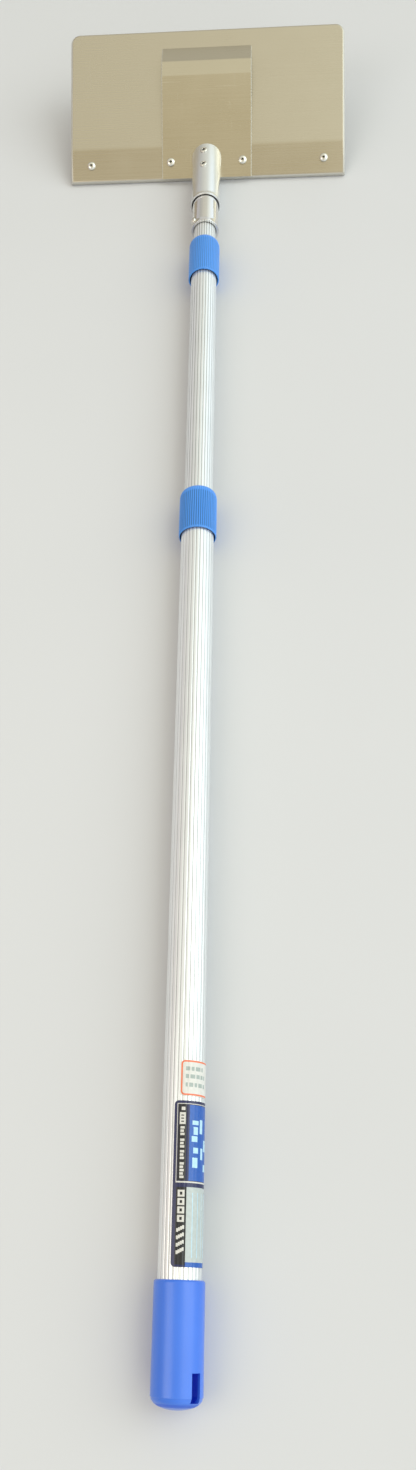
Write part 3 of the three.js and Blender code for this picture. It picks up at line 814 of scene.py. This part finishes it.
def make_weld(name, side):
    """Rippled bead along one side of the socket, from the bracket's edge to the pipe's end."""
    bead, steps, sides, ripples, low_end = 0.9, 132, 14, 11, 2.5
    height = BRACKET["back"] + BRACKET["sheet"] + 0.4
    reach = SOCKET["radius"] + 0.05
    ahead = (-HEAD_DROP * cos(STRIP_ANGLE) - height) / sin(STRIP_ANGLE)
    centre = ahead * cos(STRIP_ANGLE) - HEAD_DROP * sin(STRIP_ANGLE)
    long = reach / sin(STRIP_ANGLE)
    end = (SOCKET["end"] - HEAD_STATION + height * sin(STRIP_ANGLE)) / cos(STRIP_ANGLE)
    first, last = acos((low_end - centre) / long), acos((end - centre) / long)
    rings = []
    for step in range(steps + 1):
        share = step / steps
        turn = first + (last - first) * share
        middle = Vector((side * reach * sin(turn), centre + long * cos(turn), height))
        heading = Vector((side * reach * cos(turn), -long * sin(turn), 0)).normalized()
        across = heading.cross(Vector((0, 0, 1)))
        taper = min(1.0, 0.3 + 5 * min(share, 1 - share))
        size = bead * taper * (0.94 + 0.12 * ((share * ripples) % 1) + 0.05 * sin(step * 0.37))
        rings.append([middle + size * (cos(a) * across + 0.85 * sin(a) * Vector((0, 0, 1)))
                      for a in (2 * pi * k / sides for k in range(sides))])
    points, faces = grid(rings, False)
    tip = steps * sides
    faces += [tuple(range(sides))[::-1], tuple(tip + k for k in range(sides))]
    weld = new_object(name, (points, faces), HEAD, WELD_METAL, RIBBED_SHARP)
    place_piece(weld, "upper_pole", "weld_metal", f"socket_{name}")


# Blade and bracket ---------------------------------------------------------------------------

FOLD_HALF = 2.5  # half the length of the rounded fold, along the sheet


def on_blade(x, up, out):
    """A point off the folded sheet's front face, in the head's frame."""
    bend = PANEL_ANGLE - STRIP_ANGLE
    first, last = BLADE["strip"] - FOLD_HALF, BLADE["strip"] + FOLD_HALF
    share = min(max((up - first) / (last - first), 0.0), 1.0)
    angle = bend * share
    along = Vector((0, min(up, first), 0))
    if share > 0:
        radius = 2 * FOLD_HALF / abs(bend)
        along += Vector((0, radius * sin(abs(angle)), -radius * (1 - cos(angle))))
    if up > last:
        along += Vector((0, cos(angle), sin(angle))) * (up - last)
    return along + Vector((x, 0, 0)) + Vector((0, -sin(angle), cos(angle))) * out


def make_blade():
    """Flat sheet with its rims turned back, thickened, then folded along the strip's edge."""
    arc_steps, rim_steps, fold_steps, edge_bevel = 10, 6, 6, 0.25
    half, top = BLADE["width"] / 2, BLADE["strip"] + BLADE["panel"]
    corner, rim, edge = BLADE["corner"], BLADE["rim"], BLADE["edge"]
    bm = bmesh.new()
    arc = [i * pi / 2 / arc_steps for i in range(arc_steps + 1)]
    outline = [(-half, 0), (half, 0)]
    outline += [(half - corner + corner * cos(a), top - corner + corner * sin(a)) for a in arc]
    outline += [(-half + corner - corner * sin(a), top - corner + corner * cos(a)) for a in arc]
    front = bm.faces.new([bm.verts.new((x, up, 0)) for x, up in outline])
    edges = front.edges[:]
    turned_back = bmesh.ops.extrude_edge_only(bm, edges=edges)["geom"]
    for vert in (item for item in turned_back if isinstance(item, bmesh.types.BMVert)):
        vert.co.z = -rim
    bmesh.ops.bevel(bm, geom=edges, offset=edge, offset_type="OFFSET", segments=rim_steps, profile=0.5,
                    affect="EDGES", clamp_overlap=False)
    bmesh.ops.recalc_face_normals(bm, faces=bm.faces)
    if max(bm.faces, key=lambda f: f.calc_area()).normal.z < 0:
        bmesh.ops.reverse_faces(bm, faces=bm.faces)
    mesh = bpy.data.meshes.new("folded_blade")
    bm.to_mesh(mesh)
    bm.free()
    mesh.materials.append(BLADE_SHEET)
    blade = bpy.data.objects.new("folded_blade", mesh)
    bpy.context.scene.collection.objects.link(blade)
    sheet = blade.modifiers.new("sheet", "SOLIDIFY")
    sheet.thickness, sheet.offset, sheet.use_even_offset = BLADE["sheet"], -1, True
    settle(blade)

    bm = bmesh.new()
    bm.from_mesh(blade.data)
    rows = [BLADE["strip"] + FOLD_HALF * (i / (fold_steps / 2) - 1)
            for i in range(fold_steps + 1)]
    for row in rows:
        bmesh.ops.bisect_plane(bm, geom=bm.verts[:] + bm.edges[:] + bm.faces[:], dist=1e-5,
                               plane_co=(0, row, 0), plane_no=(0, 1, 0))
    for vert in bm.verts:
        vert.co = HEAD @ on_blade(*vert.co)
    bm.to_mesh(blade.data)
    bm.free()
    clean(blade)
    ease(blade, edge_bevel, 60)
    paint_edge_highlight(blade, BLADE_SHEET)
    place_piece(blade, "upper_pole", "blade_sheet", "blade")


def paint_edge_highlight(sheet, face_finish):
    """Painted highlight where a sheet turns away from its face: its edges and rims take a brighter
    metal.
    """
    sheet.data.materials.clear()
    for material in (face_finish, EDGE_HIGHLIGHT):
        sheet.data.materials.append(material)
    across, along, _ = HEAD.to_3x3().normalized().transposed()
    for part in sheet.data.polygons:
        sideways, downwards = abs(part.normal.dot(across)), -part.normal.dot(along)
        turned_away = sideways > 0.35 or downwards > 0.6
        part.material_index = int(turned_away)


def make_bracket():
    """Thick plate: straight over the strip, a shelf leaning back, and a ramp onto the panel."""
    sheet, half, inner, bend_steps, lift = BRACKET["sheet"], BRACKET["width"] / 2, 2.0, 6, 0.3
    rest = PANEL_ANGLE - STRIP_ANGLE
    level = BRACKET["back"] + sheet

    def face(depth):
        """Path of the plate's face at this depth, its bends rounded, out to the panel."""
        path, up, out = [], 0.0, level
        for length, tilt, after in zip((BRACKET["straight"], BRACKET["shelf"]), BRACKET_TILTS,
                                       BRACKET_TILTS[1:]):
            radius = inner + sheet
            setback = radius * tan((after - tilt) / 2)
            down = Vector((-sin(tilt), -cos(tilt)))
            first = Vector((up, out)) + Vector((cos(tilt), -sin(tilt))) * (length - setback)
            centre = first + down * radius
            path.append(Vector((up, out)) + down * depth if not path else path[-1])
            for step in range(bend_steps + 1):
                angle = tilt + (after - tilt) * step / bend_steps
                path.append(centre + Vector((sin(angle), cos(angle))) * (radius - depth))
            up, out = (Vector((up, out)) + Vector((cos(tilt), -sin(tilt))) * length)
        tilt = BRACKET_TILTS[-1]
        last = path[-1]
        over = last.y - ((last.x - BLADE["strip"]) * tan(rest) + lift)
        length = over / (sin(tilt) + cos(tilt) * tan(rest))
        return path + [last + Vector((cos(tilt), -sin(tilt))) * length]

    front, rear = face(0), face(sheet)
    outline = front + rear[::-1]
    rings = [[(x, up, out) for up, out in outline] for x in (-half, half)]
    points, faces = grid(rings, False)
    count = len(outline)
    for index in range(len(front) - 1):
        mirror = count - 1 - index
        faces.append((index, index + 1, mirror - 1, mirror))
        faces.append(tuple(count + k for k in (mirror, mirror - 1, index + 1, index)))
    bracket = new_object("bent_bracket_plate", (points, faces), HEAD, BRACKET_SHEET)
    ease(bracket, 0.75, 50)
    paint_edge_highlight(bracket, BRACKET_SHEET)
    place_piece(bracket, "upper_pole", "bracket_sheet", "bracket_plate")


# Fasteners -----------------------------------------------------------------------------------

def cross_cutter(size, place):
    """Two tapered blades of a cross recess, as one cutter each, in the darker metal painted as shade
    in the recess.
    """
    width, depth, cutters = 1.3, 4.4, []
    for turn in (0, pi / 2):
        points, faces = box_solid((width, size, depth), (0, 0, 0))
        tapered = [(x * (0.8 if z < 0 else 1.15), y * (0.35 if z < 0 else 1.0), z)
                   for x, y, z in points]
        cutter = new_object("recess", (tapered, faces), place @ Matrix.Rotation(turn, 4, "Z"),
                            [ZINC, RECESS_SHADE])
        # All the cutter's faces take the painted shade, which the cut leaves in the recess.
        repaint(cutter, place, lambda spot: True)
        cutters.append(cutter)
    return cutters


def make_fasteners():
    """Pan head screws from the front, each with a washer and a nut behind the blade."""
    front, rear = BRACKET["back"] + BRACKET["sheet"], -BLADE["sheet"]
    shank, head, crown, past_sheet, recess = 2.5, 5, 3.1, 7.2, 5.2
    washer_bore, washer_sheet, gap, turn_between = 2.75, 1.05, 0.1, 0.7
    for index, x in enumerate(SCREW_X, 1):
        seat = (front if abs(x) < BRACKET["width"] / 2 else 0) + 0.05
        place = (HEAD @ Matrix.Translation((x, SCREW_UP, 0))
                 @ Matrix.Rotation(index * turn_between, 4, "Z"))
        tip = rear - past_sheet
        profile = [(0, tip), (2.1, tip), (shank, tip + 0.5), (shank, seat), (4.6, seat),
                   (head, seat + 0.35), (4.95, seat + 0.8),
                   *quarter((4.9, seat + 0.95), (0, seat + crown), True, 9)]
        screw = new_object(f"pan_screw_{index}", standing(turned(soft(profile, 0.15), 64)), place,
                           [ZINC, RECESS_SHADE])
        carve(screw, *cross_cutter(recess, place @ Matrix.Translation((0, 0, seat + crown))))
        place_piece(screw, "upper_pole", "screw_zinc", f"screw_{index}")

        low = rear - gap - washer_sheet
        ring = [(washer_bore, low), (head, low), (head, rear - gap), (washer_bore, rear - gap)]
        washer = new_object(f"flat_washer_{index}", standing(turned(soft(ring, 0.2), 48)), place,
                            ZINC)
        place_piece(washer, "upper_pole", "screw_zinc", f"washer_{index}")
        nut = hex_nut(f"hex_nut_{index}", place, low - gap)
        place_piece(nut, "upper_pole", "screw_zinc", f"nut_{index}")


def hex_nut(name, place, top):
    """Hexagon with chamfered corners: a hexagon whose points are turned down to a cone."""
    around, flat, height, bore, chamfer, turned_down = 72, 4.0, 4.0, 2.55, 0.45, 4.1
    uncut = 9  # past the hexagon's corners
    angles = [2 * pi * k / around for k in range(around)]
    sixth = pi / 3
    reach = [flat / cos((a + sixth / 2) % sixth - sixth / 2) for a in angles]
    rings = []
    for out, limit in ((top - height, turned_down), (top - height + chamfer, uncut),
                       (top - chamfer, uncut), (top, turned_down)):
        rings.append([(min(r, limit) * cos(a), min(r, limit) * sin(a), out)
                      for r, a in zip(reach, angles)])
    for out, radius in ((top, bore + 0.4), (top - 0.4, bore), (top - height + 0.4, bore),
                        (top - height, bore + 0.4)):
        rings.append([(radius * cos(a), radius * sin(a), out) for a in angles])
    return new_object(name, grid(rings, True), place, ZINC, 30)


# Stage ---------------------------------------------------------------------------------------

def make_floor():
    material, tree, shader = nodes_of("pale_floor")
    shader.inputs["Roughness"].default_value = 0.75
    clouds = noise(tree, 3.0, detail=2)
    tree.links.new(mixed(tree, clouds, (0.615, 0.625, 0.655), (0.65, 0.66, 0.69)),
                   shader.inputs["Base Color"])
    half, below_part = 40.0, 0.0005
    mesh = bpy.data.meshes.new("floor")
    mesh.from_pydata([(-half, -half, 0), (half, -half, 0), (half, half, 0), (-half, half, 0)], [],
                     [(0, 1, 2, 3)])
    mesh.materials.append(material)
    floor = bpy.data.objects.new("floor", mesh)
    floor.location.z = CAD_BOX[0].z - below_part
    bpy.context.scene.collection.objects.link(floor)


def area_light(name, location, target, size, power, color):
    data = bpy.data.lights.new(name, "AREA")
    data.shape, data.size, data.size_y = "RECTANGLE", *size
    data.energy, data.color = power, color
    light = bpy.data.objects.new(name, data)
    light.location = location
    aim = Vector(target) - Vector(location)
    light.rotation_euler = aim.to_track_quat("-Z", "Y").to_euler()
    light.visible_camera = False
    bpy.context.scene.collection.objects.link(light)


def make_world():
    """Room light as bands over the pole: a bright warm ceiling, duller walls behind and ahead,
    and a cool window wall on the right."""
    world = bpy.data.worlds.new("room")
    bpy.context.scene.world = world
    world.use_nodes = True
    tree = world.node_tree
    place = tree.nodes.new("ShaderNodeTexCoord")
    split = tree.nodes.new("ShaderNodeSeparateXYZ")
    tree.links.new(place.outputs["Generated"], split.inputs[0])
    turn = calc(tree, split.outputs["Y"], split.outputs["Z"], "ARCTAN2")
    bands = color_ramp(tree, spread(tree, turn, 0, 1, (-pi / 2, pi / 2)), WALL_BANDS)
    sides = color_ramp(tree, spread(tree, split.outputs["X"], 0, 1, (-1, 1)), SIDE_TINTS)
    both = tree.nodes.new("ShaderNodeMix")
    both.data_type, both.blend_type = "RGBA", "MULTIPLY"
    both.inputs[0].default_value = 1
    tree.links.new(bands, both.inputs[6])
    tree.links.new(sides, both.inputs[7])
    tree.links.new(both.outputs[2], tree.nodes["Background"].inputs["Color"])
    tree.nodes["Background"].inputs["Strength"].default_value = 1.0


def color_ramp(tree, value, stops):
    ramp = tree.nodes.new("ShaderNodeValToRGB")
    elements = ramp.color_ramp.elements
    for index, (position, color) in enumerate(stops):
        stop = elements[index] if index < 2 else elements.new(position)
        stop.position, stop.color = position, (*color, 1)
    tree.links.new(value, ramp.inputs[0])
    return ramp.outputs[0]


# From the horizon behind the grip (0) over the zenith (0.5) to the horizon past the blade (1)
WALL_BANDS = ((0.0, (0.80, 0.80, 0.78)), (1.0, (0.80, 0.81, 0.80)), (0.30, (0.72, 0.67, 0.54)),
              (0.43, (0.70, 0.60, 0.39)), (0.485, (1.0, 0.96, 0.77)), (0.60, (1.0, 0.97, 0.81)),
              (0.72, (0.84, 0.82, 0.70)), (0.82, (0.64, 0.62, 0.53)), (0.90, (0.72, 0.72, 0.68)))
# From the left (0) to the right (1)
SIDE_TINTS = ((0.0, (0.80, 0.70, 0.78)), (1.0, (1.35, 1.55, 1.8)), (0.30, (0.78, 0.79, 0.84)),
              (0.43, (0.95, 0.95, 0.96)), (0.56, (0.98, 1.0, 1.02)), (0.62, (1.22, 1.28, 1.34)),
              (0.70, (1.50, 1.64, 1.82)))


# Name, place, aim and size in metres, watts, colour
LIGHTS = (("window", (2.5, 0.2, 2.3), (0, 0.1, 0), (2.4, 3.2), 34, (0.93, 0.97, 1.0)),
          ("soft_fill", (-1.4, -0.9, 1.8), (0, 0, 0), (1.4, 1.4), 12, (1.0, 0.95, 0.86)))


def make_stage():
    make_floor()
    make_world()
    for settings in LIGHTS:
        area_light(*settings)
    bpy.context.scene.view_settings.view_transform = "Standard"


make_tubes()
make_grip()
make_labels()
make_locks()
make_socket()
make_rivets()
make_button()
make_weld("weld_left", -1)
make_weld("weld_right", 1)
make_blade()
make_bracket()
make_fasteners()
make_stage()
